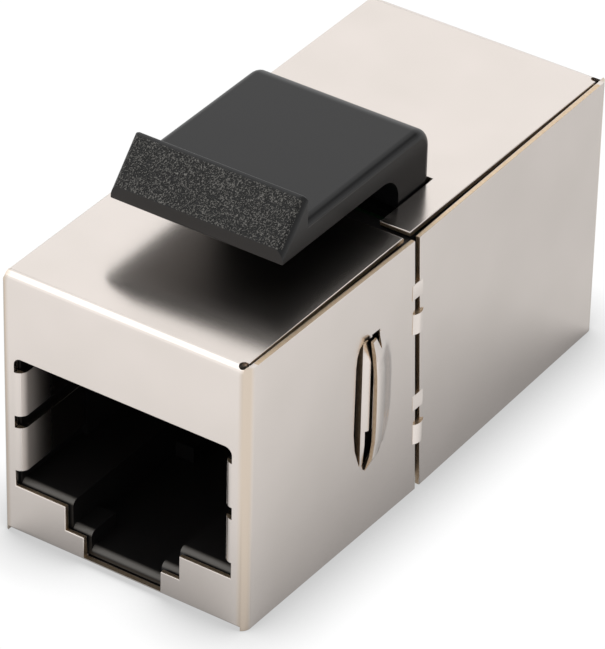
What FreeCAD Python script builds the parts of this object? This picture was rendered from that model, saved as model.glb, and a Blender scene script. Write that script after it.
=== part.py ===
"""Shielded in-line coupler for two RJ45 plugs, with a keystone latch on top.

X is the width, +Y points from the front port to the rear port, +Z is up. The
origin is the middle of the underside. Every piece of one end is drawn as seen
from that end: its depth runs inwards from the end face, and front() or rear()
puts it in place. Millimetres throughout.
"""
import FreeCAD, Part
import math
import os

from FreeCAD import Vector

# ---- shield: one folded sheet, two open boxes hinged together on four ties ----
WIDTH = 14.5                 # outside, between the side walls
HEIGHT = 15.3                # outside, between top and bottom plates
FRONT_BOX = 14.2             # depth of the front box, to the seam
REAR_BOX = 17.4              # depth of the rear box, to the seam
SEAM = 0.4                   # gap between the two boxes
SEAM_LEAN = 0.85             # the seam lies this much further back at the bottom
PLATE_SEAM = 0.2             # extra gap between the two top and bottom plates
SHEET = 0.3                  # sheet thickness
SIDE_BEND = 0.25             # inside radius where an end face turns into a side wall
PLATE_BEND = 0.2             # inside radius where an end face turns into a plate
EDGE_SLIT = 0.1              # open slit between a plate and the side wall beside it
SLIT_START = 0.42            # depth at which a slit opens, in a round relief
RELIEF_R = 0.25
RELIEF_BITE = 0.03           # how far the relief runs into the side wall
WALL_LEAN = 0.24             # how far the hinged side stands out at the seam
PLAIN_WALL_DROP = 0.55       # the other side wall stops this much below the top

# ---- the four ties on the hinged side, from the bottom up ----
TIE_LOW = 3.58               # middle of the lowest tie
TIE_PAIR_PITCH = 1.9         # between the two ties of a pair
TIE_PAIRS_APART = 6.8        # from the lower pair to the upper pair
FLAT_TIE = 0.92              # height of the upper tie of a pair
BOWED_TIE = 1.18             # height of the lower one
TIE_LAP = 0.25               # how far a tie runs on over each wall
TIE_RISE = 0.16              # how far the lower one bows out

# ---- port opening in each end face ----
PORT_TOP = 10.6
PORT_ROUND = 0.42            # radius of its two upper corners
SHELF = 2.93                 # height of the shelves each side
STEP_HALF = 3.4              # half width between the shelves
STEP = 1.52                  # height of the small steps
CHANNEL_HALF = 2.3           # half width of the channel for the plug's lever
CHANNEL_FLOOR = 0.32

# ---- earth tabs, folded in from the sides of the opening ----
TABS_APART = 11.8            # clear width between left and right tabs
TAB_BEND = 0.2               # inside radius
TAB_HEIGHT = 2.56
TAB_GAP = 0.7                # between the two tabs of one side
TAB_LOW = 3.9                # underside of the lower tab
TAB_DEPTH = 5.0

# ---- spring louvre pressed out of each side wall of the front box ----
LOUVRE_START = 9.9           # depth of its cut edge
LOUVRE_WIDTH = 2.4
LOUVRE_RISE = 0.66
LOUVRE_LOW = 3.9
LOUVRE_HIGH = 11.65
TOP_OPEN = 0.08              # 0 would close its top as its foot is closed
TEAR = 0.7                   # height of the tear below its top, and width
SLOT_WIDTH = 0.5             # bowed slot in front of it
SLOT_LOW = 4.4
STRIP_WIDTH = 0.42           # strip left standing between slot and louvre
STRIP_TWIST = 0.2            # how far its edge beside the louvre stands out
STRIP_TAPER = 1.2            # height over which the twist dies away at each end
JOG_HEIGHT = 6.4             # below this the strip is narrower
JOG = 0.2
SLOT_BOW = ((0, 0), (0.3, 0.05), (0.75, 0.16), (1, 0.3), (1, 0.84), (0.85, 0.92),
            (0.45, 0.98), (0, 1))        # its outline, in widths and heights

# ---- plastic jack housings ----
FIT = 0.08                   # housing to shield, each side
FACE_SETBACK = 0.1           # behind the end face
LEDGE = 0.2                  # plastic showing inside the opening's edge
LEDGE_ROUND = 0.3
FLOOR_THICK = 0.45           # below the lever's channel
TAB_CLEARANCE = 0.1          # housing wall to the back of a tab
GUIDE_HALF = 5.95            # plug guide behind the tabs
PORT_DEPTH = 12.5            # end face to the back wall of the port
BACK_WALL = 1.2
LIP_DEPTH = 3.4              # roof lip that hides the contacts' bends
CATCH_DEPTH = 2.4            # front wall that the plug's lever catches behind
CATCH_ROOM = 9.0
BOARD_GAP = 0.1              # housing to circuit board

# ---- circuit board, standing between the two housings ----
BOARD_THICK = 1.0
BOARD_FRONT = -1.0           # its front face, in Y
BOARD_HALF = 6.4
BOARD_INSET = 1.05           # board below the top and above the underside
PIN_HOLE_R = 0.3
PIN_HOLE_SIDES = 10          # each hole is drawn as a prism

# ---- contacts ----
CONTACTS = 8
PITCH = 1.02
WIRE_THICK = 0.25
WIRE_WIDTH = 0.32
RUN_DOWN = 3.25              # middle of the straight run, below the top
HAIRPIN_DEPTH = 4.4          # where the run turns down
HAIRPIN_R = 0.38             # inside radius
SLOPE = 15.0                 # degrees that the spring falls towards the back
SPRING_END = 11.7            # depth of the free end
REAR_TAIL_DROP = 1.2         # rear contacts meet the board this much lower

# ---- contact carriers ----
CARRIER_HALF = 5.3
CARRIER_START = 5.2
CARRIER_END = 14.2
BELOW_RUN = 0.55             # carrier below the middle of the contacts' run
ABOVE_RUN = 0.9
GROOVE_WIDTH = 0.46
GROOVE_ROOM = 0.08           # above a contact, in its groove
COMB_START = 11.0
COMB_DROP = 3.3              # comb below the carrier
COMB_SLOT = 1.0              # depth of the comb's slots
CARRIER_FIT = 0.1            # carrier to housing

# ---- keystone latch: a moulded arm on a foot held in the rear housing ----
LATCH_WIDTH = 10.0
COLUMN_FRONT = 0.0           # in Y
COLUMN_THICK = 2.85
ARM_TOP = 3.25               # above the top plate
ARM_UNDER = 1.8              # above the top plate
ARM_REACH = 10.0             # from the column's front to the tip
TIP_FACE = 0.8               # height of the blunt tip
RAMP_LENGTH = 1.8
RIDGE_TOP = 4.62             # above the top plate
RIDGE_FLAT = 0.3
RIDGE_ROUND = 0.14           # long edges of the ridge's crest
RIDGE_CORNER = 0.3           # its two upper corners, seen from the back
ARCH_R = 1.4                 # under the arm, at the column
CORNER_R = 1.25              # top rear corner
LATCH_ROUND = 0.45           # long edges of the arm and the ramp
NOTCH_SIDE = 0.1             # column to the notch in the top plate
FOOT_INSET = 0.9             # foot behind the column's front face
FOOT_THICK = 1.7
FOOT_DEEP = 1.4              # below the top plate's outside
FOOT_SIDE = 0.4              # foot narrower than the column, each side
COLUMN_SINK = 0.25           # column's underside, below the plate's outside
POCKET_ROOM = 0.2            # round the foot
PRESS_ROOM = 0.5             # below the column, for the latch to tip

LENGTH = FRONT_BOX + SEAM + REAR_BOX
HALF = WIDTH / 2
BEND_OUT = PLATE_BEND + SHEET
HOUSING_HALF = HALF - SHEET - FIT
HOUSING_LOW = SHEET + FIT
HOUSING_HIGH = HEIGHT - SHEET - FIT
HOUSING_START = SHEET + FACE_SETBACK
RUN_Z = HEIGHT - RUN_DOWN
CARRIER_LOW = RUN_Z - BELOW_RUN
CARRIER_HIGH = RUN_Z + ABOVE_RUN
COMB_LOW = CARRIER_LOW - COMB_DROP
FOOT_HALF = LATCH_WIDTH / 2 - FOOT_SIDE
THROUGH = 1.0                # cutters run on this far past what they cut
FRONT_HOUSING_END = LENGTH / 2 + BOARD_FRONT - BOARD_GAP
REAR_HOUSING_END = LENGTH / 2 - BOARD_FRONT - BOARD_THICK - BOARD_GAP


def box(x0, x1, y0, y1, z0, z1):
    return Part.makeBox(x1 - x0, y1 - y0, z1 - z0, Vector(x0, y0, z0))


def sym_box(half, y0, y1, z0, z1):
    return box(-half, half, y0, y1, z0, z1)


def front(shape):
    """Puts a piece drawn from the end face inwards at the front end."""
    placed = shape.copy()
    placed.translate(Vector(0, -LENGTH / 2, 0))
    return placed


def rear(shape):
    """The same at the rear end, mirrored front to back."""
    return front(shape).mirror(Vector(0, 0, 0), Vector(0, 1, 0))


def prism(points, along):
    """Straight-sided solid from a closed outline."""
    wire = Part.makePolygon(points + [points[0]])
    return Part.Face(wire).extrude(along)


def bent_strip(start, heading, moves, thickness, place, along):
    """Sheet or wire bent in one plane, then drawn out to its width.

    start is a point on the middle of the thickness and heading is in degrees.
    A move is ("line", length) or ("bend", degrees, inside radius), positive to
    the left. place turns the plane's two numbers into a point.
    """
    half = thickness / 2
    u, v = start
    angle = math.radians(heading)
    left, right = [], []

    def side(u, v, angle, offset):
        return place(u - math.sin(angle) * offset, v + math.cos(angle) * offset)

    for move in moves:
        if move[0] == "line":
            u2 = u + math.cos(angle) * move[1]
            v2 = v + math.sin(angle) * move[1]
            for edges, offset in ((left, half), (right, -half)):
                edges.append(Part.LineSegment(side(u, v, angle, offset),
                                              side(u2, v2, angle, offset)).toShape())
            u, v = u2, v2
            continue
        turn = math.radians(move[1])
        hand = math.copysign(1, turn)
        radius = hand * (move[2] + half)
        centre_u = u - math.sin(angle) * radius
        centre_v = v + math.cos(angle) * radius

        def on_arc(share, offset):
            a = angle + turn * share
            return place(centre_u + math.sin(a) * (radius - offset),
                         centre_v - math.cos(a) * (radius - offset))

        for edges, offset in ((left, half), (right, -half)):
            edges.append(Part.Arc(on_arc(0, offset), on_arc(0.5, offset),
                                  on_arc(1, offset)).toShape())
        angle += turn
        u = centre_u + math.sin(angle) * radius
        v = centre_v - math.cos(angle) * radius
    first_cap = Part.LineSegment(right[0].Vertexes[0].Point,
                                 left[0].Vertexes[0].Point).toShape()
    last_cap = Part.LineSegment(left[-1].Vertexes[-1].Point,
                                right[-1].Vertexes[-1].Point).toShape()
    outline = Part.Wire(Part.__sortEdges__([first_cap] + left + [last_cap] + right))
    return Part.Face(outline).extrude(along)


# ------------------------------------------------------------------ shield

def in_plan(z):
    return lambda x, y: Vector(x, y, z)


def in_section(x):
    return lambda y, z: Vector(x, y, z)


def port_outline(half, top, shelf, step_half, step, channel_half, floor, y):
    """Stepped port opening: shelves for the plug, a channel for its lever."""
    side = [(half, top), (half, shelf), (step_half, shelf), (step_half, step),
            (channel_half, step), (channel_half, floor)]
    mirrored = [(-x, z) for x, z in reversed(side)]
    return [Vector(x, y, z) for x, z in side + mirrored]


def port_cut():
    """Cutter for the opening in an end face, its top corners rounded."""
    half = TABS_APART / 2 + TAB_BEND + SHEET
    cutter = prism(port_outline(half, PORT_TOP, SHELF, STEP_HALF, STEP,
                                CHANNEL_HALF, CHANNEL_FLOOR, -SHEET),
                   Vector(0, 3 * SHEET, 0))
    corners = [edge for edge in cutter.Edges
               if abs(edge.CenterOfMass.z - PORT_TOP) < 0.01
               and abs(edge.CenterOfMass.x) > half - 0.01]
    return cutter.makeFillet(PORT_ROUND, corners)


def earth_tabs():
    """Two tabs each side, folded back along the walls of the port."""
    inner = TABS_APART / 2
    tabs = []
    for z in (TAB_LOW, TAB_LOW + TAB_HEIGHT + TAB_GAP):
        start = (inner + TAB_BEND + SHEET + SHEET, SHEET / 2)
        moves = [("line", SHEET), ("bend", -90, TAB_BEND),
                 ("line", TAB_DEPTH - TAB_BEND - SHEET)]
        tab = bent_strip(start, 180, moves, SHEET, in_plan(z), Vector(0, 0, TAB_HEIGHT))
        tabs += [tab, tab.mirror(Vector(0, 0, 0), Vector(1, 0, 0))]
    return tabs


def rounded_end(depth):
    """Outside of a box whose end face turns into its side walls."""
    block = sym_box(HALF, 0, depth, 0, HEIGHT)
    uprights = [edge for edge in block.Edges
                if edge.BoundBox.ZLength > 1 and edge.BoundBox.YMax < 0.01]
    return block.makeFillet(SIDE_BEND + SHEET, uprights)


def folded_plate(depth, flip):
    """End face turned over into the top plate, or the bottom plate if flip."""
    half = HALF - SHEET
    moves = [("line", SHEET), ("bend", -90, PLATE_BEND), ("line", depth - BEND_OUT)]
    plate = bent_strip((SHEET / 2, HEIGHT - BEND_OUT - SHEET), 90, moves, SHEET,
                       in_section(-half), Vector(2 * half, 0, 0))
    if flip:
        plate = plate.mirror(Vector(0, 0, HEIGHT / 2), Vector(0, 0, 1))
    return plate.common(rounded_end(depth))


def edge_slits(depth):
    """Slits along both edges of both plates, each from a round relief."""
    cutters = []
    outside = HALF - SHEET
    height = BEND_OUT + THROUGH
    for z0 in (-THROUGH, HEIGHT - BEND_OUT):
        for side in (-1, 1):
            middle = side * (outside - EDGE_SLIT / 2)
            cutters.append(box(middle - EDGE_SLIT / 2, middle + EDGE_SLIT / 2, SLIT_START,
                               depth + THROUGH, z0, z0 + height))
            centre = side * (outside - RELIEF_R + RELIEF_BITE)
            cutters.append(Part.makeCylinder(RELIEF_R, height, Vector(centre, SLIT_START, z0)))
    return cutters


def seam_shift(z):
    """How far back the leaning seam lies, at a height, from where it lies halfway up."""
    return SEAM_LEAN * (0.5 - z / HEIGHT)


def beyond_seam(depth, hand):
    """Space past the edge of a box that is depth deep halfway up."""
    edge = [Vector(-WIDTH, depth + hand * seam_shift(z), z)
            for z in (-THROUGH, HEIGHT + THROUGH)]
    far = [Vector(-WIDTH, depth + SEAM_LEAN + THROUGH, z)
           for z in (HEIGHT + THROUGH, -THROUGH)]
    return prism(edge + far, Vector(2 * WIDTH, 0, 0))


def open_box(depth, hand):
    """One end face with its four folded sides, port, tabs and slits.

    hand is 1 for the box whose bottom reaches further to the seam, -1 for the other.
    """
    lean = math.degrees(math.atan2(WALL_LEAN, depth))
    corner = SIDE_BEND + SHEET
    reach = depth + SEAM_LEAN
    moves = [("line", reach - corner), ("bend", 90, SIDE_BEND),
             ("line", WIDTH - 2 * corner), ("bend", 90 - lean, SIDE_BEND),
             ("line", (reach - corner) / math.cos(math.radians(lean)))]
    walls = bent_strip((-HALF + SHEET / 2, reach), -90, moves, SHEET,
                       in_plan(0), Vector(0, 0, HEIGHT))
    room = HALF - SHEET
    walls = walls.cut([beyond_seam(depth, hand),
                       sym_box(room, -THROUGH, corner, -THROUGH, BEND_OUT),
                       sym_box(room, -THROUGH, corner, HEIGHT - BEND_OUT, HEIGHT + THROUGH),
                       box(-WIDTH, -room, -THROUGH, reach, HEIGHT - PLAIN_WALL_DROP, HEIGHT)])
    plates = [folded_plate(reach, flip).cut(beyond_seam(depth - PLATE_SEAM / 2, hand))
              for flip in (False, True)]
    shell = walls.fuse(plates)
    shell = shell.cut([port_cut()] + edge_slits(reach)).fuse(earth_tabs())
    return shell.removeSplitter()


def louvre_body(rise, width):
    """Swelling of a louvre: tapered at both ends, square at its cut edge."""
    base = HALF - 2 * SHEET
    steps = 8
    sections = []
    for i in range(steps + 1):
        share = i / steps
        reach = (2 - TOP_OPEN) * share - 1
        full = max((1 - abs(reach) ** 3) ** 0.5, 0.06)
        z = LOUVRE_LOW + (LOUVRE_HIGH - LOUVRE_LOW) * share
        y0, y1 = LOUVRE_START, LOUVRE_START + width * full
        crest = HALF + rise * full
        flank = Part.BezierCurve()
        flank.setPoles([Vector(crest, y0, z), Vector(crest, (y0 + y1) / 2, z),
                        Vector(HALF, (y0 + 2 * y1) / 3, z), Vector(HALF, y1, z)])
        corners = [Vector(HALF, y1, z), Vector(base, y1, z), Vector(base, y0, z),
                   Vector(crest, y0, z)]
        edges = [flank.toShape()] + [Part.LineSegment(a, b).toShape()
                                     for a, b in zip(corners, corners[1:])]
        sections.append(Part.Wire(edges))
    return Part.makeLoft(sections, True, True)


def twisted_strip():
    """Wedge that tilts the strip between the two slots to face away from the louvre."""
    y0, y1 = LOUVRE_START - STRIP_WIDTH, LOUVRE_START
    middle = HALF - SHEET / 2
    sections = []
    for z, rise in ((SLOT_LOW, 0.01), (SLOT_LOW + STRIP_TAPER, STRIP_TWIST),
                    (LOUVRE_HIGH - STRIP_TAPER, STRIP_TWIST), (LOUVRE_HIGH, 0.01)):
        corners = [Vector(middle, y0, z), Vector(HALF, y0, z),
                   Vector(HALF + rise, y1, z), Vector(middle, y1, z)]
        sections.append(Part.makePolygon(corners + [corners[0]]))
    return Part.makeLoft(sections, True, True)


def add_louvre(shell, side):
    """Cuts the slots of one wall's louvre and puts its raised sheet on."""
    inner, outer = HALF - 2 * SHEET, HALF + LOUVRE_RISE + THROUGH
    slot_end = LOUVRE_START - STRIP_WIDTH
    bowed = [Vector(inner, slot_end - SLOT_WIDTH * w, SLOT_LOW + (LOUVRE_HIGH - SLOT_LOW) * h)
             for w, h in SLOT_BOW]
    torn = [Vector(inner, LOUVRE_START + across, LOUVRE_HIGH + up)
            for across, up in ((TEAR / 2, TEAR / 6), (3 * TEAR / 2, TEAR / 6),
                               (TEAR, -TEAR))]
    across = Vector(outer - inner, 0, 0)
    hollow = louvre_body(LOUVRE_RISE - SHEET, LOUVRE_WIDTH - SHEET)
    raised = louvre_body(LOUVRE_RISE, LOUVRE_WIDTH).cut(hollow)
    raised = raised.common(box(HALF - SHEET, outer, 0, LENGTH, 0, HEIGHT))
    lower_slot = box(inner, outer, LOUVRE_START - JOG, LOUVRE_START,
                     SLOT_LOW, JOG_HEIGHT)
    pieces = [prism(bowed, across), lower_slot, hollow, raised, twisted_strip(),
              prism(torn, across)]
    if side < 0:
        pieces = [p.mirror(Vector(0, 0, 0), Vector(1, 0, 0)) for p in pieces]
    else:
        lean = WALL_LEAN * (LOUVRE_START + LOUVRE_WIDTH / 2) / FRONT_BOX
        for piece in pieces:
            piece.translate(Vector(lean, 0, 0))
    return shell.fuse(pieces[4]).cut(pieces[:3]).fuse(pieces[3]).cut(pieces[5])


def tie(z, height, rise):
    """Narrow strip that joins the two boxes."""
    x = HALF + WALL_LEAN
    y0 = FRONT_BOX + seam_shift(z) - TIE_LAP
    y1 = y0 + SEAM + 2 * TIE_LAP
    low = z - height / 2
    if not rise:
        return box(x - SHEET, x, y0, y1, low, low + height)

    def bow(x):
        return Part.Arc(Vector(x, y0, low), Vector(x + rise, (y0 + y1) / 2, low),
                        Vector(x, y1, low)).toShape()

    ends = [Part.LineSegment(Vector(x - SHEET, y, low), Vector(x, y, low)).toShape()
            for y in (y0, y1)]
    wire = Part.Wire(Part.__sortEdges__([bow(x - SHEET), bow(x)] + ends))
    return Part.Face(wire).extrude(Vector(0, 0, height))


def ties():
    """Two pairs, each a bowed tie with a flat one above it."""
    strips = []
    for z in (TIE_LOW, TIE_LOW + TIE_PAIRS_APART):
        strips += [tie(z, BOWED_TIE, TIE_RISE), tie(z + TIE_PAIR_PITCH, FLAT_TIE, 0)]
    return strips


def latch_notch():
    """Cut in the rear box's top plate, open to the seam, for the latch's column."""
    half = LATCH_WIDTH / 2 + NOTCH_SIDE
    back = COLUMN_FRONT + COLUMN_THICK + NOTCH_SIDE
    return sym_box(half, -FRONT_BOX, back, HEIGHT - 2 * SHEET, HEIGHT + THROUGH)


def shield_shell():
    front_half = open_box(FRONT_BOX, 1)
    for side in (-1, 1):
        front_half = add_louvre(front_half, side)
    rear_half = rear(open_box(REAR_BOX, -1)).cut(latch_notch())
    shell = front(front_half).fuse(rear_half)
    for strip in ties():
        shell = shell.fuse(front(strip))
    return shell.removeSplitter()


# ---------------------------------------------------------------- housings

def ledge_edges(shape):
    """Front edges of the port's floor, which the moulding rounds over."""
    return [edge for edge in shape.Edges
            if abs(edge.BoundBox.YMax - HOUSING_START) < 0.01
            and edge.BoundBox.YLength < 0.01 and edge.BoundBox.XLength > 0.5
            and HOUSING_LOW + 0.1 < edge.CenterOfMass.z < SHELF + 1]


def jack_housing(end):
    """Moulded body of one port, seen from its own end."""
    body = sym_box(HOUSING_HALF, HOUSING_START, end, HOUSING_LOW, HOUSING_HIGH)
    beside_tabs = TABS_APART / 2 + SHEET + TAB_CLEARANCE
    shelf, step = SHELF + LEDGE, STEP + LEDGE
    step_half, channel_half = STEP_HALF - LEDGE, CHANNEL_HALF - LEDGE
    floor = HOUSING_LOW + FLOOR_THICK
    tab_end = TAB_DEPTH + SHEET
    mouth = prism(port_outline(beside_tabs, PORT_TOP - LEDGE, shelf, step_half, step,
                               channel_half, floor, 0), Vector(0, tab_end, 0))
    guide = prism(port_outline(GUIDE_HALF, PORT_TOP - LEDGE, shelf, step_half, step,
                               channel_half, floor, 0), Vector(0, PORT_DEPTH, 0))
    body = body.cut([mouth, guide])
    body = body.makeFillet(LEDGE_ROUND, ledge_edges(body))
    half = CARRIER_HALF + CARRIER_FIT
    sled_room = sym_box(half, LIP_DEPTH, end + THROUGH, COMB_LOW - CARRIER_FIT,
                        CARRIER_HIGH + CARRIER_FIT)
    catch_room = sym_box(step_half, CATCH_DEPTH, CATCH_ROOM, floor, shelf + 0.1)
    behind = sym_box(half, PORT_DEPTH + BACK_WALL, end + THROUGH, step, COMB_LOW)
    return body.cut([sled_room, catch_room, behind])


def latch_pocket():
    """Room in the rear housing for the latch's foot, and above it for its column."""
    foot = FOOT_HALF + POCKET_ROOM / 2
    column = LATCH_WIDTH / 2 + NOTCH_SIDE
    y0 = COLUMN_FRONT + FOOT_INSET
    return [sym_box(foot, y0 - POCKET_ROOM, y0 + FOOT_THICK + POCKET_ROOM,
                    HEIGHT - FOOT_DEEP - POCKET_ROOM, HEIGHT),
            sym_box(column, -FRONT_BOX, COLUMN_FRONT + COLUMN_THICK + NOTCH_SIDE,
                    HEIGHT - COLUMN_SINK - PRESS_ROOM, HEIGHT)]


# ------------------------------------------------- contacts and their carriers

def contact_x(index):
    return (index - (CONTACTS - 1) / 2) * PITCH


def contact(index, tail_end, drop):
    """Bent spring contact: board pin, run through the carrier, hairpin, spring."""
    turn = 180 - SLOPE
    hairpin = HAIRPIN_R + WIRE_THICK / 2
    moves = []
    run_end = CARRIER_END + 0.1
    if drop:
        # Offset bend behind the carrier, down to this end's own row of holes.
        radius = 0.15
        lean = 60
        middle = radius + WIRE_THICK / 2
        fall = drop - 2 * middle * (1 - math.cos(math.radians(lean)))
        slant = fall / math.sin(math.radians(lean))
        across = 2 * middle * math.sin(math.radians(lean)) + slant * math.cos(math.radians(lean))
        moves += [("line", tail_end - run_end - across), ("bend", -lean, radius),
                  ("line", slant), ("bend", lean, radius), ("line", run_end - HAIRPIN_DEPTH)]
    else:
        moves += [("line", tail_end - HAIRPIN_DEPTH)]
    exit_depth = HAIRPIN_DEPTH - hairpin * math.sin(math.radians(turn))
    spring = (SPRING_END - exit_depth) / math.cos(math.radians(SLOPE))
    moves += [("bend", turn, HAIRPIN_R), ("line", spring)]
    x = contact_x(index) - WIRE_WIDTH / 2
    return bent_strip((tail_end, RUN_Z - drop), 180, moves, WIRE_THICK, in_section(x),
                      Vector(WIRE_WIDTH, 0, 0))


def contact_carrier():
    """Sled that the contacts lie in, with a comb that keeps their free ends apart."""
    plate = sym_box(CARRIER_HALF, CARRIER_START, CARRIER_END, CARRIER_LOW, CARRIER_HIGH)
    nose = [edge for edge in plate.Edges
            if edge.BoundBox.XLength > 1 and edge.CenterOfMass.y < CARRIER_START + 0.01]
    plate = plate.makeFillet(0.3, nose)
    comb = sym_box(CARRIER_HALF, COMB_START, CARRIER_END, COMB_LOW, CARRIER_LOW)
    body = plate.fuse(comb)
    cutters = []
    for index in range(CONTACTS):
        x0 = contact_x(index) - GROOVE_WIDTH / 2
        x1 = x0 + GROOVE_WIDTH
        roof = RUN_Z + WIRE_THICK / 2 + GROOVE_ROOM
        cutters += [box(x0, x1, 0, LENGTH, RUN_Z - WIRE_THICK / 2 - GROOVE_ROOM, roof),
                    box(x0, x1, 0, COMB_START + COMB_SLOT, 0, roof)]
    return body.cut(cutters).removeSplitter()


def pin_hole(x, z):
    turns = [2 * math.pi * i / PIN_HOLE_SIDES for i in range(PIN_HOLE_SIDES)]
    ring = [Vector(x + PIN_HOLE_R * math.cos(t), BOARD_FRONT - THROUGH,
                   z + PIN_HOLE_R * math.sin(t)) for t in turns]
    return prism(ring, Vector(0, BOARD_THICK + 2 * THROUGH, 0))


def circuit_board():
    """Board on edge between the housings, with a row of pin holes for each end."""
    y1 = BOARD_FRONT + BOARD_THICK
    board = sym_box(BOARD_HALF, BOARD_FRONT, y1, BOARD_INSET, HEIGHT - BOARD_INSET)
    return board.cut([pin_hole(contact_x(i), z) for i in range(CONTACTS)
                      for z in (RUN_Z, RUN_Z - REAR_TAIL_DROP)])


# ------------------------------------------------------------------- latch

def keystone_latch():
    """Arm with a ramped ridge at its tip, on a column with a foot below."""
    top = HEIGHT + ARM_TOP
    under = HEIGHT + ARM_UNDER
    back = COLUMN_FRONT + COLUMN_THICK
    tip = COLUMN_FRONT - ARM_REACH
    ridge = tip + RAMP_LENGTH
    sunk = HEIGHT - COLUMN_SINK

    def p(y, z):
        return Vector(-LATCH_WIDTH / 2, y, z)

    def line(a, b):
        return Part.LineSegment(a, b).toShape()

    def arc(a, centre_y, centre_z, radius, degrees, b):
        t = math.radians(degrees)
        middle = p(centre_y + radius * math.cos(t), centre_z + radius * math.sin(t))
        return Part.Arc(a, middle, b).toShape()

    corners = [p(back, sunk), p(back, top - CORNER_R), p(back - CORNER_R, top),
               p(ridge + RIDGE_FLAT, top), p(ridge + RIDGE_FLAT, HEIGHT + RIDGE_TOP),
               p(ridge, HEIGHT + RIDGE_TOP), p(tip, under + TIP_FACE), p(tip, under),
               p(COLUMN_FRONT - ARCH_R, under), p(COLUMN_FRONT, under - ARCH_R),
               p(COLUMN_FRONT, sunk)]
    edges = [line(corners[0], corners[1]),
             arc(corners[1], back - CORNER_R, top - CORNER_R, CORNER_R, 45, corners[2])]
    edges += [line(a, b) for a, b in zip(corners[2:8], corners[3:9])]
    edges += [arc(corners[8], COLUMN_FRONT - ARCH_R, under - ARCH_R, ARCH_R, 45, corners[9]),
              line(corners[9], corners[10]), line(corners[10], corners[0])]
    arm = Part.Face(Part.Wire(edges)).extrude(Vector(LATCH_WIDTH, 0, 0))
    upper = [edge for edge in arm.Edges
             if abs(abs(edge.CenterOfMass.x) - LATCH_WIDTH / 2) < 0.01
             and edge.BoundBox.XLength < 0.01
             and (on_arm_top(edge, top, back) or on_ramp(edge, tip, ridge))]
    arm = arm.makeFillet(LATCH_ROUND, upper)
    horn = [sym_box(LATCH_WIDTH, tip - THROUGH, ridge + RIDGE_FLAT, top, 2 * HEIGHT)
            .cut(ridge_gauge(tip, ridge, top))]
    arm = arm.cut(horn)
    crest = [edge for edge in arm.Edges
             if abs(edge.BoundBox.ZMin - HEIGHT - RIDGE_TOP) < 0.01
             and edge.BoundBox.YLength < 0.01]
    arm = arm.makeFillet(RIDGE_ROUND, crest)
    y0 = COLUMN_FRONT + FOOT_INSET
    foot = sym_box(FOOT_HALF, y0, y0 + FOOT_THICK, HEIGHT - FOOT_DEEP, sunk)
    return arm.fuse(foot).removeSplitter()


def ridge_gauge(tip, ridge, top):
    """What the ridge keeps: a slab as wide as the latch with rounded upper corners."""
    slab = sym_box(LATCH_WIDTH / 2, tip - 2 * THROUGH, ridge + 2 * RIDGE_FLAT, top - THROUGH,
                   HEIGHT + RIDGE_TOP)
    uprights = [edge for edge in slab.Edges
                if edge.BoundBox.YLength > 1 and edge.BoundBox.ZMin > HEIGHT + RIDGE_TOP - 0.01]
    return slab.makeFillet(RIDGE_CORNER, uprights)


def on_arm_top(edge, top, back):
    """Long edges of the arm's top and of its rounded rear corner."""
    bounds = edge.BoundBox
    flat = abs(bounds.ZMin - top) < 0.01 and abs(bounds.ZMax - top) < 0.01
    rounded = abs(bounds.ZMax - top) < 0.01 and abs(bounds.YMax - back) < 0.01
    return flat or rounded


def on_ramp(edge, tip, ridge):
    bounds = edge.BoundBox
    return abs(bounds.YMin - tip) < 0.01 and abs(bounds.YMax - ridge) < 0.01


def build():
    """Every node by name."""
    nodes = {
        "shield_shell": shield_shell(),
        "front_jack_housing": front(jack_housing(FRONT_HOUSING_END)),
        "rear_jack_housing": rear(jack_housing(REAR_HOUSING_END)).cut(latch_pocket()),
        "circuit_board": circuit_board(),
        "front_contact_carrier": front(contact_carrier()),
        "rear_contact_carrier": rear(contact_carrier()),
        "keystone_latch": keystone_latch(),
    }
    front_tail = LENGTH / 2 + BOARD_FRONT + BOARD_THICK
    rear_tail = LENGTH / 2 - BOARD_FRONT
    for index in range(CONTACTS):
        name = "contact_%d" % (index + 1)
        nodes["front_" + name] = front(contact(index, front_tail, 0))
        nodes["rear_" + name] = rear(contact(index, rear_tail, REAR_TAIL_DROP))
    return nodes


os.makedirs("parts", exist_ok=True)
for name, shape in build().items():
    if len(shape.Solids) != 1 or not shape.isValid():
        raise ValueError("%s is not one valid solid" % name)
    shape.Solids[0].exportStep("parts/%s.step" % name)
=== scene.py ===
"""Looks of a shielded RJ45 in-line coupler with a keystone latch, round its CAD frame."""
import math

import bmesh
import bpy
from mathutils import Matrix, Vector


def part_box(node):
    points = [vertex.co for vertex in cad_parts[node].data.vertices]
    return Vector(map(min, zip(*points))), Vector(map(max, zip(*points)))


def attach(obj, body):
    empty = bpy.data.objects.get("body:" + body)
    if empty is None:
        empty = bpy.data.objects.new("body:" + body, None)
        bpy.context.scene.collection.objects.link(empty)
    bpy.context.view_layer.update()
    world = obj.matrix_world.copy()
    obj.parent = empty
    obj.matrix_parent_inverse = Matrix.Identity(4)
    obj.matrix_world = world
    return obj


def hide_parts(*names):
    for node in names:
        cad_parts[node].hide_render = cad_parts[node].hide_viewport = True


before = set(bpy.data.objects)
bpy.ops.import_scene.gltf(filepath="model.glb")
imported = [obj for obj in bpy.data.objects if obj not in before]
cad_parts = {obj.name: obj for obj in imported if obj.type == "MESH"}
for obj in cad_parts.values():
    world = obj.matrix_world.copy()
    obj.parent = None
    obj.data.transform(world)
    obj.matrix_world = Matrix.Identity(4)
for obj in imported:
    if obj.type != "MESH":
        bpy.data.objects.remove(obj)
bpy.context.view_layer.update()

MM = 0.001
SHIELD_LOW, SHIELD_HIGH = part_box("shield_shell")
LATCH_LOW, LATCH_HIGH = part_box("keystone_latch")

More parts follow.
